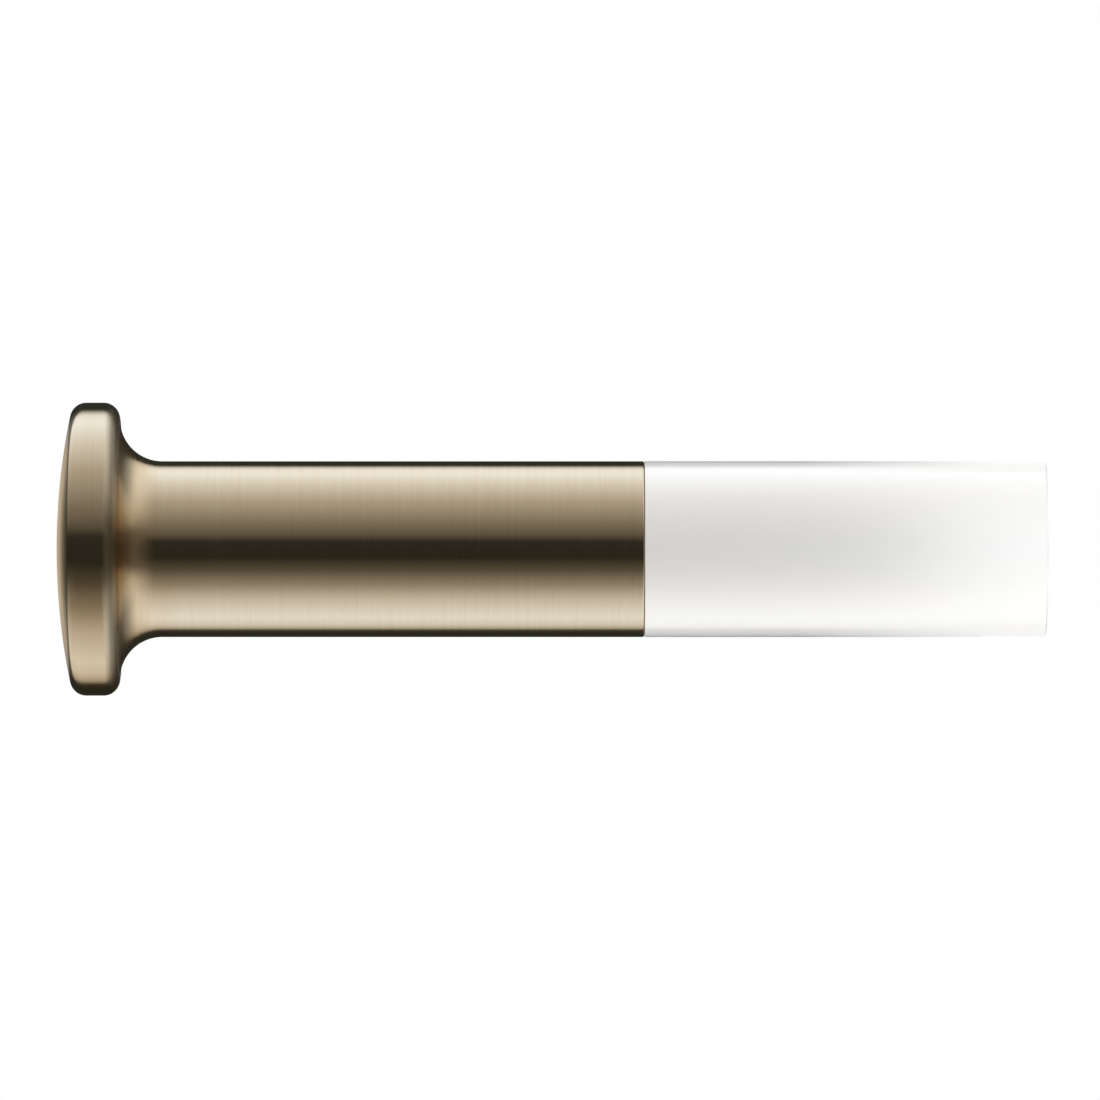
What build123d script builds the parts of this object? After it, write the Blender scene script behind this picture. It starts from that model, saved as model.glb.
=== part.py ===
"""Wall-mounted towel holder: a flared brushed bronze end and a white sleeve on a hidden wall spigot.

The bar lies along X. The wall is the plane x = 0, and the free end points along -X, away from the wall.
All sizes are in millimetres, and every station along the bar is measured from the wall.
"""

import os
from math import sqrt

from build123d import *

# Outside form
BAR_DIAMETER = 24.0  # the metal bar and the white sleeve alike
END_LENGTH = 80.2  # from the top of the dome to the seam
SLEEVE_LENGTH = 54.78  # from the wall to the sleeve's end at the seam
DISC_DIAMETER = 40.0
DISC_THICKNESS = 8.6  # from the top of the dome to the back of the disc
DOME_RADIUS = 90.0  # crown of the disc's face
RIM_ROUND = 2.2  # both edges of the disc's rim
SEAM_ROUND = 0.3  # the metal's edge at the seam
SLEEVE_ROUND = 0.1  # the sleeve's edge at the seam
WALL_EDGE_CHAMFER = 0.2  # the sleeve's outer edge at the wall

# Fits
FIT_CLEARANCE = 0.1  # radial, between turned pieces that slide together
THREAD_CLEARANCE = 0.05  # radial, between a plain-modelled screw and its tapped hole
SCREW_CLEARANCE = 0.25  # radial, where a screw passes a hole freely

# Joint at the seam
SPIGOT_DIAMETER = 16.0
SPIGOT_LENGTH = 18.0
SPIGOT_CHAMFER = 0.8
SEAM_WASHER_THICKNESS = 0.5
SEAM_WASHER_DIAMETER = 21.0
SEAM_GAP = 0.02  # left between the metal and the sleeve when the washer is clamped
TAP_RUN_OUT = 2.0  # tapped depth left free past the bolt's tip

# Bush that the sleeve is clamped on
BUSH_DIAMETER = 19.0
BUSH_FLOOR = 4.0
BUSH_CHAMFER = 0.5

# Wall spigot
WALL_FLANGE_THICKNESS = 2.0
WALL_SPIGOT_DIAMETER = 13.0
WALL_SPIGOT_LENGTH = 11.0
WALL_SPIGOT_CHAMFER = 0.4
WALL_GAP = 0.3  # lets the sleeve draw up tight to the wall before the bush meets the flange
GROOVE_DEPTH = 1.6  # 90 degree groove for the point of the grub screw
WALL_SCREW_HOLE = 5.5
WALL_SCREW_SINK = 11.0
WALL_SCREW_ANGLE = 90.0

# M6 socket cap screw with its spring washer
BOLT_DIAMETER = 6.0
BOLT_LENGTH = 35.0
BOLT_HEAD_DIAMETER = 10.0
BOLT_HEAD_HEIGHT = 6.0
BOLT_SOCKET_WIDTH = 5.0
BOLT_SOCKET_DEPTH = 3.0
BOLT_HEAD_CHAMFER = 0.5
BOLT_TIP_CHAMFER = 0.6
BOLT_HEAD_GAP = 0.5  # from the head to the wall spigot
WASHER_DIAMETER = 11.8
WASHER_THICKNESS = 1.6
WASHER_SLIT = 0.8
WASHER_SLIT_LEAN = 20.0  # degrees from a radius

# M3 grub screw
GRUB_DIAMETER = 3.0
GRUB_LENGTH = 6.0
GRUB_SOCKET_WIDTH = 1.5
GRUB_SOCKET_DEPTH = 1.5
GRUB_POINT_DIAMETER = 0.8  # flat at the tip of the 90 degree cone
GRUB_SEAT_GAP = 0.1  # along the screw, from its cone to the sides of the groove

# Radii
bar_radius = BAR_DIAMETER / 2
disc_radius = DISC_DIAMETER / 2
spigot_radius = SPIGOT_DIAMETER / 2
bush_radius = BUSH_DIAMETER / 2
wall_spigot_radius = WALL_SPIGOT_DIAMETER / 2
bolt_radius = BOLT_DIAMETER / 2
grub_radius = GRUB_DIAMETER / 2
neck_radius = disc_radius - bar_radius - RIM_ROUND  # one arc from the bar up to the rim's round
dome_rise = DOME_RADIUS - sqrt(DOME_RADIUS**2 - disc_radius**2)
groove_root_radius = wall_spigot_radius - GROOVE_DEPTH

# Stations along X, from the wall out to the free end
wall_spigot_front = -(WALL_FLANGE_THICKNESS + WALL_SPIGOT_LENGTH)
grub_station = -(WALL_FLANGE_THICKNESS + WALL_SPIGOT_LENGTH / 2)
bush_back = -(WALL_FLANGE_THICKNESS + WALL_GAP)
bolt_head_top = wall_spigot_front - BOLT_HEAD_GAP
bolt_head_seat = bolt_head_top - BOLT_HEAD_HEIGHT
bush_floor_face = bolt_head_seat - WASHER_THICKNESS
bush_front = bush_floor_face - BUSH_FLOOR
bolt_tip = bolt_head_seat - BOLT_LENGTH
seam_sleeve = -SLEEVE_LENGTH
seam_shoulder = seam_sleeve - SEAM_GAP
spigot_end = seam_shoulder + SPIGOT_LENGTH
dome_top = seam_shoulder - END_LENGTH
disc_back = dome_top + DISC_THICKNESS

# Radial stations of the grub screw, measured down from the bar's axis
grub_point = groove_root_radius + GRUB_POINT_DIAMETER / 2 + GRUB_SEAT_GAP
grub_top = grub_point + GRUB_LENGTH
grub_cone_height = grub_radius - GRUB_POINT_DIAMETER / 2


def across_bar(station):
    """Plane square to the bar at a station, facing the wall."""
    return Plane(origin=(station, 0, 0), x_dir=(0, 1, 0), z_dir=(1, 0, 0))


def from_below(distance):
    """Plane under the bar at the grub screw, a given distance below the axis and facing down."""
    return Plane(origin=(grub_station, 0, -distance), x_dir=(1, 0, 0), z_dir=(0, 0, -1))


# Flared end: domed disc, swept neck, bar and spigot turned as one piece, tapped for the tie bolt
with BuildPart() as flared_end:
    with BuildSketch(Plane.XZ) as end_profile:
        with BuildLine():
            dome = RadiusArc((dome_top, 0), (dome_top + dome_rise, disc_radius), DOME_RADIUS)
            rim = Line(dome @ 1, (disc_back - RIM_ROUND, disc_radius))
            rim_back = JernArc(rim @ 1, rim % 1, RIM_ROUND, -90)
            neck = JernArc(rim_back @ 1, rim_back % 1, neck_radius, 90)
            bar = Line(neck @ 1, (seam_shoulder, bar_radius))
            Polyline(
                bar @ 1,
                (seam_shoulder, spigot_radius),
                (spigot_end, spigot_radius),
                (spigot_end, 0),
                dome @ 0,
            )
        make_face()
        rim_front = end_profile.vertices().group_by(Axis.Y)[-1].sort_by(Axis.X)[0]
        fillet(rim_front, RIM_ROUND)
    revolve(axis=Axis.X)
    shoulder = flared_end.faces().filter_by(Axis.X).sort_by(Axis.X)[0]
    fillet(shoulder.outer_wire().edges(), SEAM_ROUND)
    spigot_face = flared_end.faces().filter_by(Axis.X).sort_by(Axis.X)[-1]
    chamfer(spigot_face.outer_wire().edges(), SPIGOT_CHAMFER)
    with Locations(across_bar(spigot_end)):
        Hole(bolt_radius + THREAD_CLEARANCE, depth=spigot_end - bolt_tip + TAP_RUN_OUT)
flared_end.part.label = "flared_end"

# Seam washer: thin ring on the spigot, let into the sleeve, that keeps the metal shoulder off it
with BuildPart() as seam_washer:
    with BuildSketch(across_bar(seam_shoulder)):
        Circle(SEAM_WASHER_DIAMETER / 2)
        Circle(spigot_radius + FIT_CLEARANCE, mode=Mode.SUBTRACT)
    extrude(amount=SEAM_WASHER_THICKNESS)
seam_washer.part.label = "seam_washer"

# Bar sleeve: white tube recessed for the seam washer and the bush, with a hole for the grub screw
with BuildPart() as bar_sleeve:
    with BuildSketch(across_bar(seam_sleeve)):
        Circle(bar_radius)
    extrude(amount=SLEEVE_LENGTH)
    fillet(bar_sleeve.edges().sort_by(Axis.X)[0], SLEEVE_ROUND)
    chamfer(bar_sleeve.edges().sort_by(Axis.X)[-1], WALL_EDGE_CHAMFER)
    with BuildSketch(across_bar(seam_sleeve)):
        Circle(SEAM_WASHER_DIAMETER / 2 + FIT_CLEARANCE)
    extrude(amount=SEAM_WASHER_THICKNESS - SEAM_GAP, mode=Mode.SUBTRACT)
    with Locations(across_bar(0)):
        CounterBoreHole(spigot_radius + FIT_CLEARANCE, bush_radius + FIT_CLEARANCE, -bush_front)
    with Locations(from_below(bar_radius)):
        Hole(grub_radius + SCREW_CLEARANCE, depth=bar_radius - wall_spigot_radius)
bar_sleeve.part.label = "bar_sleeve"

# Base bush: cup that bears on the counterbore, slides over the wall spigot and takes the grub screw
with BuildPart() as base_bush:
    with BuildSketch(across_bar(bush_front)):
        Circle(bush_radius)
    extrude(amount=bush_back - bush_front)
    chamfer(base_bush.edges().filter_by(GeomType.CIRCLE), BUSH_CHAMFER)
    with Locations(across_bar(bush_back)):
        CounterBoreHole(
            bolt_radius + SCREW_CLEARANCE, wall_spigot_radius + FIT_CLEARANCE, bush_back - bush_floor_face
        )
    with Locations(from_below(bush_radius)):
        Hole(grub_radius + THREAD_CLEARANCE, depth=bush_radius)
base_bush.part.label = "base_bush"

# Tie bolt: socket cap screw through the bush into the flared end
with BuildPart() as tie_bolt:
    with BuildSketch(across_bar(bolt_head_seat)):
        Circle(BOLT_HEAD_DIAMETER / 2)
    extrude(amount=BOLT_HEAD_HEIGHT)
    chamfer(tie_bolt.edges().sort_by(Axis.X)[-1], BOLT_HEAD_CHAMFER)
    with BuildSketch(across_bar(bolt_head_top)):
        RegularPolygon(BOLT_SOCKET_WIDTH / 2, 6, major_radius=False)
    extrude(amount=-BOLT_SOCKET_DEPTH, mode=Mode.SUBTRACT)
    with BuildSketch(across_bar(bolt_tip)):
        Circle(bolt_radius)
    extrude(amount=BOLT_LENGTH)
    chamfer(tie_bolt.edges().sort_by(Axis.X)[0], BOLT_TIP_CHAMFER)
tie_bolt.part.label = "tie_bolt"

# Spring washer: split ring, drawn flat as it is under load
with BuildPart() as spring_washer:
    with BuildSketch(across_bar(bush_floor_face)):
        Circle(WASHER_DIAMETER / 2)
        Circle(bolt_radius + SCREW_CLEARANCE, mode=Mode.SUBTRACT)
        with Locations((0, (WASHER_DIAMETER / 2 + bolt_radius) / 2)):
            Rectangle(WASHER_SLIT, WASHER_DIAMETER, rotation=WASHER_SLIT_LEAN, mode=Mode.SUBTRACT)
    extrude(amount=WASHER_THICKNESS)
spring_washer.part.label = "spring_washer"

# Wall spigot: flange on the wall, grooved spigot for the bush, countersunk hole for the wall screw
with BuildPart() as wall_spigot:
    with BuildSketch(Plane.XZ):
        with BuildLine():
            Polyline(
                (0, 0),
                (0, bush_radius),
                (-WALL_FLANGE_THICKNESS, bush_radius),
                (-WALL_FLANGE_THICKNESS, wall_spigot_radius),
                (grub_station + GROOVE_DEPTH, wall_spigot_radius),
                (grub_station, groove_root_radius),
                (grub_station - GROOVE_DEPTH, wall_spigot_radius),
                (wall_spigot_front, wall_spigot_radius),
                (wall_spigot_front, 0),
                close=True,
            )
        make_face()
    revolve(axis=Axis.X)
    chamfer(wall_spigot.edges().sort_by(Axis.X)[0], WALL_SPIGOT_CHAMFER)
    with Locations(Plane(origin=(wall_spigot_front, 0, 0), z_dir=(-1, 0, 0))):
        CounterSinkHole(
            WALL_SCREW_HOLE / 2, WALL_SCREW_SINK / 2, counter_sink_angle=WALL_SCREW_ANGLE
        )
wall_spigot.part.label = "wall_spigot"

# Grub screw: cone-point set screw that pulls the bush along the wall spigot
with BuildPart() as grub_screw:
    with BuildSketch(from_below(grub_point)):
        Circle(grub_radius)
    extrude(amount=GRUB_LENGTH)
    chamfer(grub_screw.edges().sort_by(Axis.Z)[-1], grub_cone_height)
    with BuildSketch(from_below(grub_top)):
        RegularPolygon(GRUB_SOCKET_WIDTH / 2, 6, major_radius=False)
    extrude(amount=-GRUB_SOCKET_DEPTH, mode=Mode.SUBTRACT)
grub_screw.part.label = "grub_screw"

os.makedirs("parts", exist_ok=True)
pieces = [
    flared_end,
    seam_washer,
    bar_sleeve,
    base_bush,
    tie_bolt,
    spring_washer,
    wall_spigot,
    grub_screw,
]
for piece in pieces:
    export_step(piece.part, f"parts/{piece.part.label}.step")
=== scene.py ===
# %% [markdown]
# # A towel holder with a flared bronze end
#
# The holder is a single round bar that stands out from a bathroom wall. Its free end is one turned piece
# of brushed bronze: a domed disc that stops the towel from sliding off, and a neck that sweeps into the
# bar. The half nearest the wall is a white sleeve, and everything that fixes it is hidden inside.
#
# The solids come from a CAD model, in metres, with the bar along X and the wall at x = 0. This lesson gives
# them smooth turned surfaces, finishes and a small photo studio.

# %% Load the frame
from math import pi, radians, sqrt

import bmesh
import bpy
from mathutils import Matrix, Vector


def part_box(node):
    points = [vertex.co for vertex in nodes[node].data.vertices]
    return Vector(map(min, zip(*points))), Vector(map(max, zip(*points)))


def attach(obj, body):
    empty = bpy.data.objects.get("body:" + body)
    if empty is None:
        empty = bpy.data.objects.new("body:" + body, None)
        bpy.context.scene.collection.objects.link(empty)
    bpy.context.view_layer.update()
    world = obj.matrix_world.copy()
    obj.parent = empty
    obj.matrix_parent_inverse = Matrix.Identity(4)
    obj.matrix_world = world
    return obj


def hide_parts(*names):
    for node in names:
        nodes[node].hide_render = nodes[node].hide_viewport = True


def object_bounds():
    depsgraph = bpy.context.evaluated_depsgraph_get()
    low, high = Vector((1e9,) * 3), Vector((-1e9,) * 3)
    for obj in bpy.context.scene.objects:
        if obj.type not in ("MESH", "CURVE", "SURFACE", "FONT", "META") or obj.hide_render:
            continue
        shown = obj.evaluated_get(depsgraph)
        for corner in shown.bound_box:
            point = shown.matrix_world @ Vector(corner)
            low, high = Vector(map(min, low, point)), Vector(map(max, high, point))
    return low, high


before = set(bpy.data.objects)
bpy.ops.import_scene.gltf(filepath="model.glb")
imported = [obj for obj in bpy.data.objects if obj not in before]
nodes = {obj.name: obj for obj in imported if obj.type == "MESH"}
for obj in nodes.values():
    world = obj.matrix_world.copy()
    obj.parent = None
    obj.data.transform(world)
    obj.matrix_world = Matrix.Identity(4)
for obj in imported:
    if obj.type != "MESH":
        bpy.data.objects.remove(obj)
cad_low, cad_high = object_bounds()
print("CAD nodes:", ", ".join(sorted(nodes)))

# %% [markdown]
# ## Sizes
#
# A drawing of a turned part needs only a few sizes. The large ones are read from the frame, so that the
# pieces here always lie where the CAD model puts them. Small radii can't be read from a box, so they are
# written once, in millimetres, where they are first used.

# %% Read the sizes
MM = 0.001

sleeve_low, sleeve_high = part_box("bar_sleeve")
end_low, end_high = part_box("flared_end")
washer_low, washer_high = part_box("seam_washer")

bar_radius = sleeve_high.z
disc_radius = end_high.z
dome_top = end_low.x
spigot_end = end_high.x
seam_sleeve = sleeve_low.x
seam_shoulder = washer_low.x
recess_floor = washer_high.x
wall = sleeve_high.x

print(f"bar {2 * bar_radius / MM:.1f} mm, disc {2 * disc_radius / MM:.1f} mm across")
print(f"seam {-seam_shoulder / MM:.2f} mm and dome {-dome_top / MM:.2f} mm from the wall")

# %% [markdown]
# ## Drawing with a lathe pencil
#
# A turned piece is a profile swept round an axis. The profile could be typed as a long list of points, but a
# lathe hand thinks in straight cuts and radii. Blender's spin operator draws both: a spin of one vertex with
# no angle is a straight cut, and a spin round a centre is a radius. A last spin turns the profile into the
# piece. Its doubles are merged and its normals recalculated, because a spin can come out inside out.

# %% Lathe helpers
TURN_STEPS = 224  # facets round the bar, fine enough that the outline stays round
MERGE_WITHIN = 0.0005 * MM
SHARP_ANGLE = radians(30)


def start_profile(x, radius):
    """A new drawing with the pencil at a station along the bar and a distance from its axis."""
    drawing = bmesh.new()
    pencil = bmesh.ops.create_vert(drawing, co=(x, 0, radius))["vert"][0]
    return drawing, pencil


def cut_to(drawing, pencil, x, radius, steps=1):
    """Draws a straight cut and returns the pencil at its end."""
    stride = (Vector((x, 0, radius)) - pencil.co) / steps
    made = bmesh.ops.spin(
        drawing, geom=[pencil], cent=(0, 0, 0), axis=(0, 1, 0), dvec=stride, angle=0, steps=steps
    )
    return made["geom_last"][0]


def round_about(drawing, pencil, x, radius, degrees, steps):
    """Draws a radius about a centre and returns the pencil at its end. Positive turns towards the wall."""
    made = bmesh.ops.spin(
        drawing, geom=[pencil], cent=(x, 0, radius), axis=(0, 1, 0), angle=radians(degrees), steps=steps
    )
    return made["geom_last"][0]


def turn(drawing, name):
    """Spins the finished profile round the bar's axis and returns the turned object."""
    bmesh.ops.spin(
        drawing,
        geom=drawing.verts[:] + drawing.edges[:],
        cent=(0, 0, 0),
        axis=(1, 0, 0),
        angle=2 * pi,
        steps=TURN_STEPS,
        use_merge=True,
    )
    bmesh.ops.remove_doubles(drawing, verts=drawing.verts, dist=MERGE_WITHIN)
    bmesh.ops.recalc_face_normals(drawing, faces=drawing.faces)
    for face in drawing.faces:
        face.smooth = True
    mesh = bpy.data.meshes.new(name)
    drawing.to_mesh(mesh)
    drawing.free()
    mesh.set_sharp_from_angle(angle=SHARP_ANGLE)
    piece = bpy.data.objects.new(name, mesh)
    bpy.context.scene.collection.objects.link(piece)
    print(f"{name}: {len(mesh.vertices)} vertices, {len(mesh.polygons)} faces")
    return piece


print(f"one facet is {2 * pi * disc_radius / TURN_STEPS / MM:.2f} mm wide at the disc's rim")

# %% [markdown]
# ## The flared end
#
# On the real holder this is one bar of metal, turned in one go: a shallow dome, a rim with two rounds, a
# concave neck, the straight bar and the hidden spigot with its tapped hole. A revolve in one piece keeps
# every tangent exact, which matters on a brushed metal, because a kink in the profile shows as a kink in the
# reflection. Straight stretches get several steps, so that the shading of a round doesn't leak along them.

# %% Size the flared end
DOME_RADIUS = 90.0 * MM
DISC_THICKNESS = 8.6 * MM
RIM_ROUND = 2.2 * MM
SEAM_ROUND = 0.3 * MM
SPIGOT_RADIUS = 8.0 * MM
SPIGOT_CHAMFER = 0.8 * MM
TAPPED_RADIUS = 3.05 * MM
TAPPED_END = -56.5 * MM

disc_back = dome_top + DISC_THICKNESS
neck_radius = disc_radius - bar_radius - RIM_ROUND
dome_centre = dome_top + DOME_RADIUS

# The front round touches the dome from inside and the rim's cylinder, which fixes its centre
front_radius = disc_radius - RIM_ROUND
front_centre = dome_centre - sqrt((DOME_RADIUS - RIM_ROUND) ** 2 - front_radius**2)
to_front = Vector((front_centre - dome_centre, front_radius))
dome_sweep = to_front.angle(Vector((-1, 0))) * 180 / pi
print(f"the dome sweeps {dome_sweep:.1f} degrees, the neck's radius is {neck_radius / MM:.1f} mm")

# %% Turn the flared end
DOME_STEPS = 28
RIM_STEPS = 16
RIM_FLAT_STEPS = 6
NECK_STEPS = 32
BAR_STEPS = 40
SEAM_STEPS = 10

drawing, pencil = start_profile(dome_top, 0)
pencil = round_about(drawing, pencil, dome_centre, 0, dome_sweep, DOME_STEPS)
pencil = round_about(drawing, pencil, front_centre, front_radius, 90 - dome_sweep, RIM_STEPS)
pencil = cut_to(drawing, pencil, disc_back - RIM_ROUND, disc_radius, RIM_FLAT_STEPS)
pencil = round_about(drawing, pencil, disc_back - RIM_ROUND, disc_radius - RIM_ROUND, 90, RIM_STEPS)
pencil = round_about(drawing, pencil, disc_back + neck_radius, disc_radius - RIM_ROUND, -90, NECK_STEPS)
pencil = cut_to(drawing, pencil, seam_shoulder - SEAM_ROUND, bar_radius, BAR_STEPS)
pencil = round_about(drawing, pencil, seam_shoulder - SEAM_ROUND, bar_radius - SEAM_ROUND, 90, SEAM_STEPS)
pencil = cut_to(drawing, pencil, seam_shoulder, SPIGOT_RADIUS)
pencil = cut_to(drawing, pencil, spigot_end - SPIGOT_CHAMFER, SPIGOT_RADIUS)
pencil = cut_to(drawing, pencil, spigot_end, SPIGOT_RADIUS - SPIGOT_CHAMFER)
pencil = cut_to(drawing, pencil, spigot_end, TAPPED_RADIUS)
pencil = cut_to(drawing, pencil, TAPPED_END, TAPPED_RADIUS)
cut_to(drawing, pencil, TAPPED_END, 0)
flared_end = turn(drawing, "flared_end_turned")

# %% [markdown]
# ## The white sleeve
#
# The sleeve is a tube of white acrylic, as thick as the bar. Its bore is stepped for the bush that it is
# clamped on, and a shallow recess at the seam hides the black washer. The profile is a closed ring, so the
# last cut comes back to the first vertex and the merge closes it.

# %% Turn the sleeve
SLEEVE_ROUND = 0.1 * MM
WALL_CHAMFER = 0.2 * MM
BORE_RADIUS = 8.1 * MM
RECESS_RADIUS = 10.6 * MM
SEAT_RADIUS = 9.6 * MM
SEAT_END = -25.1 * MM
SLEEVE_ROUND_STEPS = 8
SLEEVE_STEPS = 34

drawing, pencil = start_profile(seam_sleeve, bar_radius - SLEEVE_ROUND)
pencil = round_about(
    drawing, pencil, seam_sleeve + SLEEVE_ROUND, bar_radius - SLEEVE_ROUND, 90, SLEEVE_ROUND_STEPS
)
pencil = cut_to(drawing, pencil, wall - WALL_CHAMFER, bar_radius, SLEEVE_STEPS)
pencil = cut_to(drawing, pencil, wall, bar_radius - WALL_CHAMFER)
pencil = cut_to(drawing, pencil, wall, SEAT_RADIUS)
pencil = cut_to(drawing, pencil, SEAT_END, SEAT_RADIUS)
pencil = cut_to(drawing, pencil, SEAT_END, BORE_RADIUS)
pencil = cut_to(drawing, pencil, recess_floor, BORE_RADIUS)
pencil = cut_to(drawing, pencil, recess_floor, RECESS_RADIUS)
pencil = cut_to(drawing, pencil, seam_sleeve, RECESS_RADIUS)
cut_to(drawing, pencil, seam_sleeve, bar_radius - SLEEVE_ROUND)
sleeve = turn(drawing, "bar_sleeve_turned")

# %% [markdown]
# ## The key hole
#
# A small hole under the sleeve lets a hex key reach the grub screw. The hole crosses the grid of a turned
# tube, so it is cut with a Boolean modifier, and the result is kept as the sleeve's own mesh.

# %% Make the drill
KEY_HOLE_RADIUS = 1.75 * MM
DRILL_SEGMENTS = 64

grub_low, grub_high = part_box("grub_screw")
grub_station = (grub_low.x + grub_high.x) / 2

drill = bmesh.new()
bmesh.ops.create_cone(
    drill,
    cap_ends=True,
    segments=DRILL_SEGMENTS,
    radius1=KEY_HOLE_RADIUS,
    radius2=KEY_HOLE_RADIUS,
    depth=SEAT_RADIUS,
)
bmesh.ops.translate(drill, verts=drill.verts, vec=(grub_station, 0, -bar_radius))
drill_mesh = bpy.data.meshes.new("drill")
drill.to_mesh(drill_mesh)
drill.free()
drill_object = bpy.data.objects.new("drill", drill_mesh)
bpy.context.scene.collection.objects.link(drill_object)
print(f"key hole {2 * KEY_HOLE_RADIUS / MM:.1f} mm wide, {-grub_station / MM:.1f} mm from the wall")

# %% Drill the key hole
SLIVER = 0.001 * MM

hole = sleeve.modifiers.new("key hole", "BOOLEAN")
hole.operation = "DIFFERENCE"
hole.object = drill_object
drilled = bpy.data.meshes.new_from_object(sleeve.evaluated_get(bpy.context.evaluated_depsgraph_get()))
sleeve.modifiers.clear()
sleeve.data = drilled
bpy.data.objects.remove(drill_object)

# The cut leaves a few slivers thinner than a micrometre, which are merged away
cleaned = bmesh.new()
cleaned.from_mesh(drilled)
bmesh.ops.remove_doubles(cleaned, verts=cleaned.verts, dist=SLIVER)
bmesh.ops.dissolve_degenerate(cleaned, edges=cleaned.edges, dist=SLIVER)
cleaned.to_mesh(drilled)
cleaned.free()
drilled.set_sharp_from_angle(angle=SHARP_ANGLE)
print(f"drilled sleeve: {len(drilled.polygons)} faces")

# %% [markdown]
# ## Taking their places
#
# The two turned pieces now stand for their CAD solids: they ride on the same body and hide the plain
# solid. The other six solids are right as they are.

# %% Put the turned pieces in the frame
for piece, node, slot in (
    (flared_end, "flared_end", "brushed_bronze"),
    (sleeve, "bar_sleeve", "opal_white"),
):
    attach(piece, "root")
    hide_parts(node)
    print(piece.name, "replaces", node)

# %% [markdown]
# ## Helpers for finishes
#
# Colours are given as sRGB hex values, but a shader works in linear light, so one function converts
# them. Another adds a node with its options, the stops of its ramp and its links in one call. Each material
# then reads from top to bottom, and ends in its shader.

# %% Helpers for colours and nodes
def linear(hex_colour):
    """An sRGB hex colour as linear RGBA."""
    channels = [int(hex_colour[at : at + 2], 16) / 255 for at in (1, 3, 5)]
    return (*[c / 12.92 if c <= 0.04045 else ((c + 0.055) / 1.055) ** 2.4 for c in channels], 1.0)


def add_node(tree, kind, inputs=None, stops=(), **settings):
    """Adds a node, sets its options and ramp, and fills its inputs with values or other nodes' sockets."""
    node = tree.nodes.new(kind)
    for option, value in settings.items():
        setattr(node, option, value)
    if stops:
        points = node.color_ramp.elements
        while len(points) < len(stops):
            points.new(0.5)
        for point, (position, colour) in zip(points, stops):
            point.position = position
            point.color = colour
    for name, value in (inputs or {}).items():
        if isinstance(value, bpy.types.NodeSocket):
            tree.links.new(value, node.inputs[name])
        else:
            node.inputs[name].default_value = value
    return node


def new_material(name):
    """A material with no nodes yet, and its node tree."""
    material = bpy.data.materials.new(name)
    material.use_nodes = True
    material.node_tree.nodes.clear()
    return material, material.node_tree


print(f"half-way grey #808080 is {linear('#808080')[0]:.3f} in linear light")

# %% [markdown]
# ## Brushed bronze
#
# The bar was turned and then brushed while it spun, so its scratches run round it. The eye gets a soft gloss
# that is smeared along the bar and stays crisp round it, and fine rings of slightly brighter and darker
# metal. The pattern could be drawn on x alone, but then the disc's face would have none. A noise that reads
# both the distance along the bar and the distance from its axis gives rings everywhere on a turned piece.
# Its last two inputs go slowly round the axis, so that no ring is the same all the way.

# %% Draw the brushed rings
STREAK_TURNS = 0.6  # how much a ring changes over a radian


def add_turned_noise(tree, spacing, detail):
    """A noise whose cells are rings round the bar's axis, one spacing apart."""
    place = add_node(tree, "ShaderNodeTexCoord")
    axes = add_node(tree, "ShaderNodeSeparateXYZ", {"Vector": place.outputs["Object"]})
    spoke = add_node(tree, "ShaderNodeCombineXYZ", {"Y": axes.outputs["Y"], "Z": axes.outputs["Z"]})
    reach = add_node(tree, "ShaderNodeVectorMath", {0: spoke.outputs[0]}, operation="LENGTH")
    spoke_way = add_node(tree, "ShaderNodeVectorMath", {0: spoke.outputs[0]}, operation="NORMALIZE")
    around = add_node(tree, "ShaderNodeSeparateXYZ", {"Vector": spoke_way.outputs["Vector"]})
    ring_parts = []
    for distance, scale in (
        (axes.outputs["X"], 1 / spacing),
        (reach.outputs["Value"], 1 / spacing),
        (around.outputs["Y"], STREAK_TURNS),
        (around.outputs["Z"], STREAK_TURNS),
    ):
        scaled = add_node(tree, "ShaderNodeMath", {0: distance, 1: scale}, operation="MULTIPLY")
        ring_parts.append(scaled.outputs[0])
    along, outward, slow_y, slow_z = ring_parts
    ring = add_node(tree, "ShaderNodeCombineXYZ", {"X": along, "Y": outward, "Z": slow_y})
    return add_node(
        tree,
        "ShaderNodeTexNoise",
        {"Vector": ring.outputs[0], "W": slow_z, "Scale": 1.0, "Detail": detail},
        noise_dimensions="4D",
    )


print(f"ring pattern: {STREAK_TURNS} noise cells per radian round the axis")

# %% Brush the bronze
BRUSH_SPACING = 0.36 * MM  # real brushing is finer: this coarse, it still shows at a step's distance
BRUSH_DETAIL = 3.0

bronze, bronze_tree = new_material("brushed_bronze")
rings = add_turned_noise(bronze_tree, BRUSH_SPACING, BRUSH_DETAIL)
metal = add_node(
    bronze_tree,
    "ShaderNodeMix",
    {"Factor": rings.outputs["Fac"], "A": linear("#C7B193"), "B": linear("#D1BEA1")},
    data_type="RGBA",
)
print(f"brushed rings: {BRUSH_SPACING / MM:.2f} mm apart, {len(bronze_tree.nodes)} nodes")

# %% [markdown]
# ## Painted shade in the crease
#
# The crease behind the disc's rim gets painted shade, darkest there and thinning out along the neck. A
# ramp along x places it, with its stops in millimetres from the back of the disc. The same ramp darkens
# the metal's colour and dulls its gloss.

# %% Add the painted shade in the crease
CREASE_SHADE = (
    (-1.7, "#FFFFFF"), (-1.35, "#E4E4E4"), (-0.8, "#B1AFAB"), (-0.27, "#BDBBB8"), (0.26, "#EBE8E4"),
    (1.3, "#E6E0D5"), (2.2, "#FDF3E3"), (6.0, "#FFFFFF"),
)
DARKEST_SHADE_LEVEL = 0.43  # linear level of the painted shade where the metal is dullest
DULLNESS = 0.2

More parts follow.
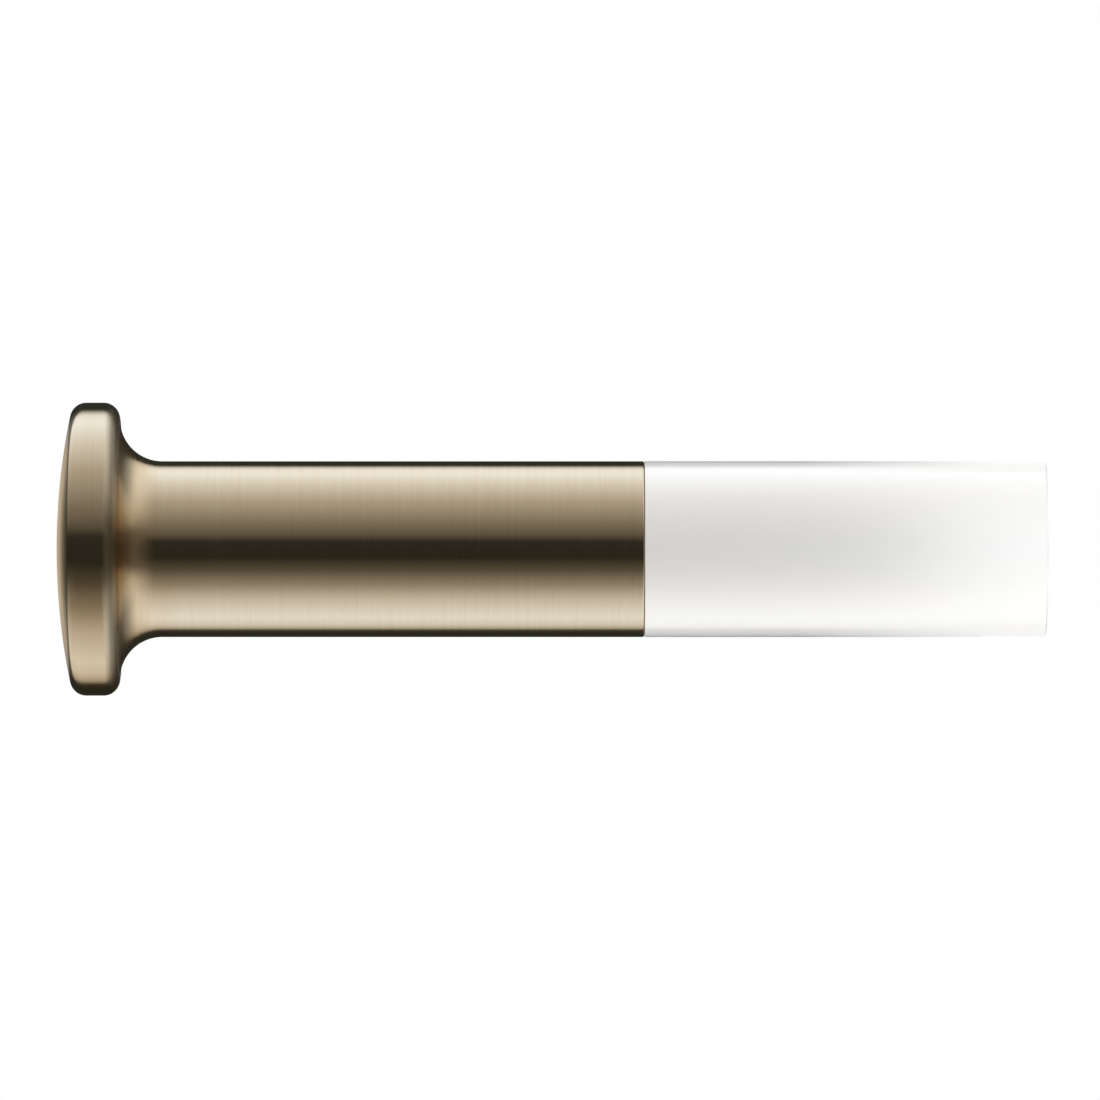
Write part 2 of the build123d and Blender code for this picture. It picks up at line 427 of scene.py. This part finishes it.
shade_start = CREASE_SHADE[0][0]
shade_end = CREASE_SHADE[-1][0]
spot = add_node(bronze_tree, "ShaderNodeTexCoord")
spot_axes = add_node(bronze_tree, "ShaderNodeSeparateXYZ", {"Vector": spot.outputs["Object"]})
crease = add_node(
    bronze_tree,
    "ShaderNodeMapRange",
    {
        "Value": spot_axes.outputs["X"],
        "From Min": disc_back + shade_start * MM,
        "From Max": disc_back + shade_end * MM,
    },
)
crease_shade = add_node(
    bronze_tree,
    "ShaderNodeValToRGB",
    {"Fac": crease.outputs["Result"]},
    stops=[((at - shade_start) / (shade_end - shade_start), linear(tint)) for at, tint in CREASE_SHADE],
)
# Painted shade: the crease ramp multiplies the metal's colour darker behind the disc
shaded_metal = add_node(
    bronze_tree,
    "ShaderNodeMix",
    {"Factor": 1.0, "A": metal.outputs["Result"], "B": crease_shade.outputs["Color"]},
    data_type="RGBA",
    blend_type="MULTIPLY",
)
dullness = add_node(
    bronze_tree,
    "ShaderNodeMapRange",
    {"Value": crease_shade.outputs["Color"], "From Min": 1.0, "From Max": DARKEST_SHADE_LEVEL, "To Max": DULLNESS},
)
print(f"patina: {shade_end - shade_start:.1f} mm wide, {len(CREASE_SHADE)} stops")

# %% [markdown]
# ## The bronze's gloss
#
# Brushing makes many fine grooves that all run one way. A bump of every groove would be too fine to
# render, so the shader's anisotropy stands for them: its tangent runs round the bar, and a quarter turn
# smears the gloss along the bar, across the grooves. A little bump and a change of roughness from ring
# to ring break the gloss up. Like most copper alloys, bronze stays slightly warm at a low angle, which
# the specular tint gives.

# %% Vary the bronze's gloss
RING_DARK = 0.3  # the noise lies mostly between these two levels
RING_LIGHT = 0.7
FINE_ROUGHNESS = 0.13
COARSE_ROUGHNESS = 0.17
SCRATCH_DEPTH = 0.02 * MM
SCRATCH_STRENGTH = 0.1

shine = add_node(
    bronze_tree,
    "ShaderNodeMapRange",
    {
        "Value": rings.outputs["Fac"],
        "From Min": RING_DARK,
        "From Max": RING_LIGHT,
        "To Min": FINE_ROUGHNESS,
        "To Max": COARSE_ROUGHNESS,
    },
)
dulled = add_node(
    bronze_tree,
    "ShaderNodeMath",
    {0: shine.outputs["Result"], 1: dullness.outputs["Result"]},
    operation="ADD",
)
scratch = add_node(
    bronze_tree,
    "ShaderNodeBump",
    {"Height": rings.outputs["Fac"], "Strength": SCRATCH_STRENGTH, "Distance": SCRATCH_DEPTH},
)
print(f"bronze roughness: {FINE_ROUGHNESS} to {COARSE_ROUGHNESS}, and {DULLNESS} more in the crease")

# %% Finish the bronze
brush_way = add_node(bronze_tree, "ShaderNodeTangent", direction_type="RADIAL", axis="X")
shader = add_node(
    bronze_tree,
    "ShaderNodeBsdfPrincipled",
    {
        "Base Color": shaded_metal.outputs["Result"],
        "Metallic": 1.0,
        "Roughness": dulled.outputs[0],
        "Specular Tint": linear("#F9F2E7"),
        "Anisotropic": 0.7,
        "Anisotropic Rotation": 0.25,
        "Normal": scratch.outputs["Normal"],
        "Tangent": brush_way.outputs["Tangent"],
    },
)
add_node(bronze_tree, "ShaderNodeOutputMaterial", {"Surface": shader.outputs["BSDF"]})
flared_end.data.materials.append(bronze)
print("brushed bronze:", len(bronze_tree.nodes), "nodes")

# %% [markdown]
# ## Pearl-white lacquer
#
# The sleeve is white acrylic under a pearl lacquer. The flakes of titania in such a lacquer reflect more
# than a clear gloss does, which a high index of refraction gives, and their shine is slightly warm. A
# white surface is lit from all round, so most of what the eye sees is soft shade, and near the edges the
# gloss takes over. A faint wave in the skin, as any sprayed coat has, breaks the gloss up.

# %% Make the pearl lacquer
WAVE_WIDTH = 2.5 * MM
WAVE_DETAIL = 2.0
WAVE_DEPTH = 0.05 * MM
WAVE_STRENGTH = 0.05

lacquer, tree = new_material("pearl_white_lacquer")
lacquer_spot = add_node(tree, "ShaderNodeTexCoord")
wave = add_node(
    tree,
    "ShaderNodeTexNoise",
    {"Vector": lacquer_spot.outputs["Object"], "Scale": 1 / WAVE_WIDTH, "Detail": WAVE_DETAIL},
)
white = add_node(
    tree,
    "ShaderNodeMix",
    {"Factor": wave.outputs["Fac"], "A": linear("#F1F0EE"), "B": linear("#F4F3F1")},
    data_type="RGBA",
)
skin = add_node(
    tree,
    "ShaderNodeBump",
    {"Height": wave.outputs["Fac"], "Strength": WAVE_STRENGTH, "Distance": WAVE_DEPTH},
)
shader = add_node(
    tree,
    "ShaderNodeBsdfPrincipled",
    {
        "Base Color": white.outputs["Result"],
        "Roughness": 0.13,
        "IOR": 2.2,
        "Specular Tint": linear("#FFF0DA"),
        "Normal": skin.outputs["Normal"],
    },
)
add_node(tree, "ShaderNodeOutputMaterial", {"Surface": shader.outputs["BSDF"]})
sleeve.data.materials.clear()
sleeve.data.materials.append(lacquer)
print("pearl lacquer:", len(tree.nodes), "nodes")

# %% [markdown]
# ## The hidden fittings
#
# The bush, the screws and the wall spigot show only from the wall side and through the key hole. Their CAD
# solids have the right shape, so they stay and only get a finish: turned aluminium for the bush, zinc-plated
# steel for the screws and the spigot, and black nylon for the washer in the seam. All were turned, so all
# show faint rings, and one function makes the three finishes.

# %% Make the finishes of the fittings
RING_DETAIL = 2.0
RING_DEPTH = 0.02 * MM
RING_STRENGTH = 0.2


def make_fitting_finish(name, dark, light, metallic, roughness, spacing):
    """A turned finish with fine rings, in two near tones."""
    material, tree = new_material(name)
    rings = add_turned_noise(tree, spacing, RING_DETAIL)
    tone = add_node(
        tree,
        "ShaderNodeMix",
        {"Factor": rings.outputs["Fac"], "A": linear(dark), "B": linear(light)},
        data_type="RGBA",
    )
    marks = add_node(
        tree,
        "ShaderNodeBump",
        {"Height": rings.outputs["Fac"], "Strength": RING_STRENGTH, "Distance": RING_DEPTH},
    )
    shader = add_node(
        tree,
        "ShaderNodeBsdfPrincipled",
        {
            "Base Color": tone.outputs["Result"],
            "Metallic": metallic,
            "Roughness": roughness,
            "Normal": marks.outputs["Normal"],
        },
    )
    add_node(tree, "ShaderNodeOutputMaterial", {"Surface": shader.outputs["BSDF"]})
    return material


# Zinc gives a grey, soft shine, aluminium a paler one, and nylon a dull near-black
zinc = make_fitting_finish(
    "zinc_plated_steel", "#A9ABAA", "#C6C8C7", metallic=1.0, roughness=0.32, spacing=0.3 * MM
)
aluminium = make_fitting_finish(
    "turned_aluminium", "#C9CBCC", "#DADCDD", metallic=1.0, roughness=0.3, spacing=0.25 * MM
)
nylon = make_fitting_finish(
    "black_nylon", "#24221F", "#312E2A", metallic=0.0, roughness=0.45, spacing=0.5 * MM
)

for node, material in (
    ("seam_washer", nylon),
    ("base_bush", aluminium),
    ("tie_bolt", zinc),
    ("spring_washer", zinc),
    ("wall_spigot", zinc),
    ("grub_screw", zinc),
):
    for material_slot in nodes[node].material_slots:
        material_slot.material = material
    print(node, "has", material.name)

# %% [markdown]
# ## The studio's room
#
# A shiny round bar shows the room around it, so the room decides how it looks. A photographer would hang
# white and black boards all round it. Here the boards are painted into the world's shader, which costs no
# geometry and keeps every edge soft.
#
# Painting is easier if one knows where each part of the room shows. As in a mirror, a surface shows the part
# that lies opposite to the viewer across its normal. For someone who looks along +Y, the normal that shows a
# direction is that direction plus (0, -1, 0), brought to length 1. Its X is the surface's tilt towards the
# wall. Its Y is -1 on a surface that faces the viewer and 0 on the outline. The rise is its height on a
# round bar, from -1 below to 1 above.

# %% Find the surface that shows each direction
world = bpy.data.worlds.new("studio")
bpy.context.scene.world = world
world.use_nodes = True
room_tree = world.node_tree
room_tree.nodes.clear()

way = add_node(room_tree, "ShaderNodeTexCoord")
halfway = add_node(
    room_tree, "ShaderNodeVectorMath", {0: way.outputs["Generated"], 1: (0, -1, 0)}, operation="ADD"
)
facing = add_node(room_tree, "ShaderNodeVectorMath", {0: halfway.outputs[0]}, operation="NORMALIZE")
tilt = add_node(room_tree, "ShaderNodeSeparateXYZ", {"Vector": facing.outputs[0]})
across = add_node(
    room_tree, "ShaderNodeVectorMath", {0: facing.outputs[0], 1: (0, 1, 1)}, operation="MULTIPLY"
)
round_way = add_node(room_tree, "ShaderNodeVectorMath", {0: across.outputs[0]}, operation="NORMALIZE")
rise = add_node(room_tree, "ShaderNodeSeparateXYZ", {"Vector": round_way.outputs[0]})
print("room: facing, tilt and rise in", len(room_tree.nodes), "nodes")

# %% [markdown]
# ## Levels of light
#
# Three lists give the room's light against the rise. The straight bar shows the long walls: bright above and
# below, and dark in front, where the camera stands. The neck shows a side wall whose dark middle is
# narrower, and the back of the disc shows an end wall with two pale patches. Dim light is a little warm
# and bright light a little cool, as window light is beside its own bounce.

# %% Paint the walls
LONG_WALLS = (
    (-0.92, 0.035), (-0.895, 0.5), (-0.85, 0.8), (-0.77, 0.95), (-0.58, 0.66), (-0.41, 0.29), (-0.24, 0.09),
    (-0.1, 0.02), (0.09, 0.02), (0.15, 0.09), (0.31, 0.21), (0.545, 0.45), (0.72, 0.77), (0.86, 1.1),
    (0.91, 1.0), (0.95, 0.03),
)
SIDE_WALL = (
    (-0.92, 0.02), (-0.87, 0.45), (-0.81, 0.68), (-0.68, 0.95), (-0.49, 0.85), (-0.33, 0.57), (-0.19, 0.14),
    (0.0, 0.09), (0.2, 0.15), (0.41, 0.6), (0.58, 0.9), (0.72, 0.99), (0.84, 0.89), (0.9, 0.64),
    (0.95, 0.02),
)
END_WALL = (
    (-0.95, 0.02), (-0.86, 0.04), (-0.7, 0.09), (-0.52, 0.19), (-0.43, 0.46), (-0.29, 0.68), (-0.18, 0.05),
    (0.18, 0.03), (0.27, 0.45), (0.43, 0.5), (0.6, 0.15), (0.75, 0.07), (0.9, 0.02),
)
DIM_RED = 1.07  # red and blue shares of dim light, and how they change with the level
RED_CHANGE = -0.2
DIM_BLUE = 0.83
BLUE_CHANGE = 0.36

share_of_rise = add_node(
    room_tree, "ShaderNodeMapRange", {"Value": rise.outputs["Z"], "From Min": -1.0, "From Max": 1.0}
)
painted = []
for levels in (LONG_WALLS, SIDE_WALL, END_WALL):
    stops = []
    for height, level in levels:
        red = level * (DIM_RED + RED_CHANGE * level)
        blue = level * (DIM_BLUE + BLUE_CHANGE * level)
        stops.append(((height + 1) / 2, (red, level, blue, 1)))
    ramp = add_node(room_tree, "ShaderNodeValToRGB", {"Fac": share_of_rise.outputs["Result"]}, stops=stops)
    painted.append(ramp.outputs["Color"])
    print("a wall of", len(levels), "levels")
long_walls, side_wall, end_wall = painted

# %% [markdown]
# ## Flags and a strip
#
# Dark flags behind the bar draw the thin line along its edges. They are a little weaker towards the free
# end, where the rim's round shows them. A pale warm strip beside the free end lights the narrow sliver of
# the dome that shows from the side. Each is a share from 0 to 1, and a mix lays it over what came before.

# %% Set the shares of the walls, flags and strip
SIDE_WALL_TILT = (0.15, 0.65)  # X of the surface where a part starts and where it is full
END_WALL_TILT = (0.52, 0.88)
FREE_END_TILT = (0.0, -0.3)
FLAG_FACING = (-0.345, -0.31)  # Y of the surface
STRIP_FACING = (-0.15, -0.128)
STRIP_HEIGHT = (0.3, 0.09)  # Z of the surface, above or below the middle
FLAG_LOSS = -0.1  # change of the flags' strength at the free end

upright = add_node(room_tree, "ShaderNodeMath", {0: tilt.outputs["Z"]}, operation="ABSOLUTE")
shares = []
for value, (start, full) in (
    (tilt.outputs["X"], SIDE_WALL_TILT),
    (tilt.outputs["X"], END_WALL_TILT),
    (tilt.outputs["X"], FREE_END_TILT),
    (tilt.outputs["Y"], FLAG_FACING),
    (tilt.outputs["Y"], STRIP_FACING),
    (upright.outputs[0], STRIP_HEIGHT),
):
    share = add_node(room_tree, "ShaderNodeMapRange", {"Value": value, "From Min": start, "From Max": full})
    shares.append(share.outputs["Result"])
on_side_wall, on_end_wall, at_free_end, on_outline, by_strip, at_strip_height = shares

flag_strength = add_node(
    room_tree, "ShaderNodeMath", {0: at_free_end, 1: FLAG_LOSS, 2: 1.0}, operation="MULTIPLY_ADD"
)
flagged = add_node(
    room_tree, "ShaderNodeMath", {0: on_outline, 1: flag_strength.outputs[0]}, operation="MULTIPLY"
)
strip_patch = add_node(
    room_tree, "ShaderNodeMath", {0: by_strip, 1: at_strip_height}, operation="MULTIPLY"
)
lit_by_strip = add_node(
    room_tree, "ShaderNodeMath", {0: strip_patch.outputs[0], 1: at_free_end}, operation="MULTIPLY"
)
print("shares of the room:", len(shares))

# %% Lay the parts of the room over each other
ROOM_STRENGTH = 1.5

colour = long_walls
for share, part in (
    (on_side_wall, side_wall),
    (flagged.outputs[0], linear("#292D2A")),
    (on_end_wall, end_wall),
    (lit_by_strip.outputs[0], linear("#BCAF9B")),
):
    laid = add_node(
        room_tree, "ShaderNodeMix", {"Factor": share, "A": colour, "B": part}, data_type="RGBA"
    )
    colour = laid.outputs["Result"]
room = add_node(room_tree, "ShaderNodeBackground", {"Color": colour, "Strength": ROOM_STRENGTH})
print("room:", len(room_tree.nodes), "nodes")

# %% [markdown]
# ## Soft light and white paper
#
# Only reflections see that room. A matt surface is lit by a plain soft white, a little weaker from low
# behind, which shades the white sleeve. The camera, and anything seen through glass, gets plain white
# paper. The kind of ray decides which of the three it meets.

# %% Join the room, the soft light and the paper
SOFT_LEVEL = 0.81
LOW_BACK_LEVEL = 0.35
PAPER_LEVEL = 1.0
LOW_BACK = Vector((0, 1, -1)).normalized()

low_back = add_node(
    room_tree, "ShaderNodeVectorMath", {0: way.outputs["Generated"], 1: LOW_BACK}, operation="DOT_PRODUCT"
)
soft_level = add_node(
    room_tree,
    "ShaderNodeMapRange",
    {"Value": low_back.outputs["Value"], "To Min": SOFT_LEVEL, "To Max": LOW_BACK_LEVEL},
)
soft = add_node(
    room_tree,
    "ShaderNodeBackground",
    {"Color": linear("#FFFFFF"), "Strength": soft_level.outputs["Result"]},
)
paper = add_node(
    room_tree, "ShaderNodeBackground", {"Color": linear("#FFFFFF"), "Strength": PAPER_LEVEL}
)
ray = add_node(room_tree, "ShaderNodeLightPath")
surround = add_node(
    room_tree,
    "ShaderNodeMixShader",
    {"Fac": ray.outputs["Is Glossy Ray"], 1: soft.outputs[0], 2: room.outputs[0]},
)
sees_paper = add_node(
    room_tree,
    "ShaderNodeMath",
    {0: ray.outputs["Is Camera Ray"], 1: ray.outputs["Is Transmission Ray"]},
    operation="MAXIMUM",
)
seen = add_node(
    room_tree,
    "ShaderNodeMixShader",
    {"Fac": sees_paper.outputs[0], 1: surround.outputs[0], 2: paper.outputs[0]},
)
add_node(room_tree, "ShaderNodeOutputWorld", {"Surface": seen.outputs[0]})
print("studio world:", len(room_tree.nodes), "nodes")

# %% [markdown]
# ## The floor
#
# A plain pale floor lies well below the bar, where it catches the shadow. Neither reflections nor soft light
# see it, because the room stands for its glow. It is painted on its upper face only: from below it is clear,
# so that the underside of the holder can be looked at. The floor, a card and a gel are all flat sheets, so
# one function makes them.

# %% Lay the floor
FLOOR_DEPTH = 0.25  # metres below the bar
FLOOR_SIDE = 7.0


def add_sheet(name, width, depth, centre, standing=False):
    """A flat sheet of a width along X and a depth along Y, or a height along Z if it stands."""
    sheet = bmesh.new()
    bmesh.ops.create_grid(sheet, x_segments=1, y_segments=1, size=0.5)  # half of a side of 1
    bmesh.ops.scale(sheet, verts=sheet.verts, vec=(width, depth, 1))
    if standing:
        bmesh.ops.rotate(sheet, verts=sheet.verts, matrix=Matrix.Rotation(radians(90), 3, "X"))
    bmesh.ops.translate(sheet, verts=sheet.verts, vec=centre)
    mesh = bpy.data.meshes.new(name)
    sheet.to_mesh(mesh)
    sheet.free()
    piece = bpy.data.objects.new(name, mesh)
    bpy.context.scene.collection.objects.link(piece)
    print(f"{name}: {width:.3f} by {depth:.3f} m")
    return piece


floor = add_sheet("floor", FLOOR_SIDE, FLOOR_SIDE, (0, 0, -FLOOR_DEPTH))
floor.visible_glossy = False
floor.visible_diffuse = False

# %% Paint the floor
floor_paint, tree = new_material("floor_paint")
matt_paint = add_node(
    tree, "ShaderNodeBsdfPrincipled", {"Base Color": linear("#F6F6F4"), "Roughness": 0.9}
)
face_side = add_node(tree, "ShaderNodeNewGeometry")
see_through = add_node(tree, "ShaderNodeBsdfTransparent")
one_sided = add_node(
    tree,
    "ShaderNodeMixShader",
    {"Fac": face_side.outputs["Backfacing"], 1: matt_paint.outputs["BSDF"], 2: see_through.outputs[0]},
)
add_node(tree, "ShaderNodeOutputMaterial", {"Surface": one_sided.outputs[0]})
floor.data.materials.append(floor_paint)
print("floor paint:", len(tree.nodes), "nodes")

# %% [markdown]
# ## The lamps
#
# Two softboxes shape the white sleeve, a large one above and a small one below. The metal doesn't see
# them, because the room already gives it its reflections. A very small, slightly cool lamp in front of
# the wall end lifts the sleeve there, so that it fades into the paper as it nears the wall.

# %% Hang the lamps
SOFTBOXES = (
    # Name, place from the holder's middle, width and height in metres, and power in watts
    ("softbox_above", (0, 0.1, 0.7), 0.9, 0.6, 1.65),
    ("softbox_below", (0, 0.0, -0.2), 0.5, 0.35, 0.39),
)
WALL_LIGHT_PAST_WALL = 15 * MM
WALL_LIGHT_REACH = 29 * MM  # from the bar's axis towards the camera
WALL_LIGHT_WIDTH = 60 * MM
WALL_LIGHT_HEIGHT = 26 * MM
WALL_LIGHT_POWER = 0.0042
WALL_LIGHT_COLOUR = (0.905, 0.96, 1.0)  # in linear light, slightly cool


def add_lamp(name, place, target, width, height, power):
    """An area lamp aimed at a point. Neither the camera nor the metal sees it."""
    light = bpy.data.lights.new(name, "AREA")
    light.shape = "RECTANGLE"
    light.size = width
    light.size_y = height
    light.energy = power
    lamp = bpy.data.objects.new(name, light)
    lamp.location = place
    lamp.rotation_euler = (Vector(target) - Vector(place)).to_track_quat("-Z", "Y").to_euler()
    lamp.visible_camera = False
    lamp.visible_glossy = False
    bpy.context.scene.collection.objects.link(lamp)
    print(f"{name}: {power} W")
    return light


centre = (cad_low + cad_high) / 2
for name, offset, width, height, power in SOFTBOXES:
    add_lamp(name, centre + Vector(offset), centre, width, height, power)

wall_light = add_lamp(
    "wall_light",
    (wall + WALL_LIGHT_PAST_WALL, -WALL_LIGHT_REACH, 0),
    (wall + WALL_LIGHT_PAST_WALL, 0, 0),
    WALL_LIGHT_WIDTH,
    WALL_LIGHT_HEIGHT,
    WALL_LIGHT_POWER,
)
wall_light.color = WALL_LIGHT_COLOUR

# %% [markdown]
# ## The pale card
#
# The lacquer shows the room as well, and darkest where the bar shows the flags. A pale card behind the wall
# end covers them there, so the sleeve's edges fade as its middle does. Only reflections see the card. It is
# clear at both ends and glows in between, because a hard edge would show as a line in the lacquer.

# %% Stand the card
CARD_Y = 30 * MM
CARD_WIDTH = 75 * MM
CARD_HEIGHT = 140 * MM
CARD_PAST_WALL = 30 * MM

card_middle = wall + CARD_PAST_WALL - CARD_WIDTH / 2
card = add_sheet("card", CARD_WIDTH, CARD_HEIGHT, (card_middle, CARD_Y, 0), standing=True)
card.visible_camera = False
card.visible_diffuse = False
card.visible_shadow = False

# %% Paint the card
CARD_LEVEL = 1.22
CARD_FADES = ((-33 * MM, -5 * MM), (28 * MM, 2 * MM))  # x where it is clear and where it glows in full

card_paint, tree = new_material("card_paint")
card_spot = add_node(tree, "ShaderNodeTexCoord")
card_axes = add_node(tree, "ShaderNodeSeparateXYZ", {"Vector": card_spot.outputs["Object"]})
fade_in, fade_out = [
    add_node(
        tree, "ShaderNodeMapRange", {"Value": card_axes.outputs["X"], "From Min": start, "From Max": full}
    )
    for start, full in CARD_FADES
]
card_fade = add_node(
    tree,
    "ShaderNodeMath",
    {0: fade_in.outputs["Result"], 1: fade_out.outputs["Result"]},
    operation="MINIMUM",
)
clear = add_node(tree, "ShaderNodeBsdfTransparent")
glow = add_node(tree, "ShaderNodeEmission", {"Color": linear("#EEF4FF"), "Strength": CARD_LEVEL})
card_surface = add_node(
    tree, "ShaderNodeMixShader", {"Fac": card_fade.outputs[0], 1: clear.outputs[0], 2: glow.outputs[0]}
)
add_node(tree, "ShaderNodeOutputMaterial", {"Surface": card_surface.outputs[0]})
card.data.materials.append(card_paint)
print("card paint:", len(tree.nodes), "nodes")

# %% [markdown]
# ## The warm gel
#
# The underside of the disc is lit more warmly than the underside of the bar. Photographers hang a sheet of
# tinted film, a gel, to warm one part of a picture. This one lies just under the disc, and the rim sees the
# room through it. It fades towards the bar, the free end and the camera, so that no edge of it shows.

# %% Hang the gel
GEL_GAP = 4 * MM  # below the disc
GEL_PAST_DISC = 75 * MM  # past the dome, along the bar
GEL_PAST_BACK = 7.4 * MM  # past the back of the disc, towards the wall
GEL_NEAR = -130 * MM
GEL_FAR = 60 * MM

gel_start = dome_top - GEL_PAST_DISC
gel_end = disc_back + GEL_PAST_BACK
gel_middle = ((gel_start + gel_end) / 2, (GEL_NEAR + GEL_FAR) / 2, -disc_radius - GEL_GAP)
gel = add_sheet("gel", gel_end - gel_start, GEL_FAR - GEL_NEAR, gel_middle)
gel.visible_camera = False
gel.visible_diffuse = False
gel.visible_shadow = False

# %% Tint the gel
GEL_WALL_FADE = 6 * MM
GEL_NEAR_FADE = 80 * MM
GEL_FREE_FADE = 60 * MM

gel_film, tree = new_material("gel_film")
gel_spot = add_node(tree, "ShaderNodeTexCoord")
gel_axes = add_node(tree, "ShaderNodeSeparateXYZ", {"Vector": gel_spot.outputs["Object"]})
gel_fade = 1.0
for axis, clear_at, full_at in (
    ("X", gel_end, gel_end - GEL_WALL_FADE),
    ("Y", GEL_NEAR, GEL_NEAR + GEL_NEAR_FADE),
    ("X", gel_start, gel_start + GEL_FREE_FADE),
):
    side = add_node(
        tree,
        "ShaderNodeMapRange",
        {"Value": gel_axes.outputs[axis], "From Min": clear_at, "From Max": full_at},
    )
    lesser = add_node(
        tree, "ShaderNodeMath", {0: gel_fade, 1: side.outputs["Result"]}, operation="MINIMUM"
    )
    gel_fade = lesser.outputs[0]
gel_tint = add_node(
    tree,
    "ShaderNodeMix",
    {"Factor": gel_fade, "A": linear("#FFFFFF"), "B": linear("#EFE7DB")},
    data_type="RGBA",
)
film = add_node(tree, "ShaderNodeBsdfTransparent", {"Color": gel_tint.outputs["Result"]})
add_node(tree, "ShaderNodeOutputMaterial", {"Surface": film.outputs[0]})
gel.data.materials.append(gel_film)
print("gel film:", len(tree.nodes), "nodes")

# %% [markdown]
# ## The camera
#
# The photograph looks square at the bar's side from far away, through a long lens. Its frame is 1100 pixels
# wide, and the bar's thickness in pixels sets how many millimetres the frame covers. The pixels of the wall
# end and of the bar's axis then place the camera.

# %% Set up the camera
PHOTO_WIDTH = 1100
BAR_PIXELS = 175.8
WALL_PIXEL = 1045.8
AXIS_PIXEL = 549.15
CAMERA_DISTANCE = 2.04
SENSOR = 36.0

per_pixel = 2 * bar_radius / BAR_PIXELS
frame_width = PHOTO_WIDTH * per_pixel
camera_data = bpy.data.cameras.new("camera")
camera_data.sensor_width = SENSOR
camera_data.lens = SENSOR * CAMERA_DISTANCE / frame_width
camera = bpy.data.objects.new("camera", camera_data)
camera.location = (
    wall - (WALL_PIXEL - PHOTO_WIDTH / 2) * per_pixel,
    -CAMERA_DISTANCE,
    (AXIS_PIXEL - PHOTO_WIDTH / 2) * per_pixel,
)
camera.rotation_euler = (radians(90), 0, 0)
bpy.context.scene.collection.objects.link(camera)
bpy.context.scene.camera = camera
bpy.context.scene.view_settings.view_transform = "Standard"
print(f"lens {camera_data.lens:.0f} mm, frame {frame_width / MM:.1f} mm wide")
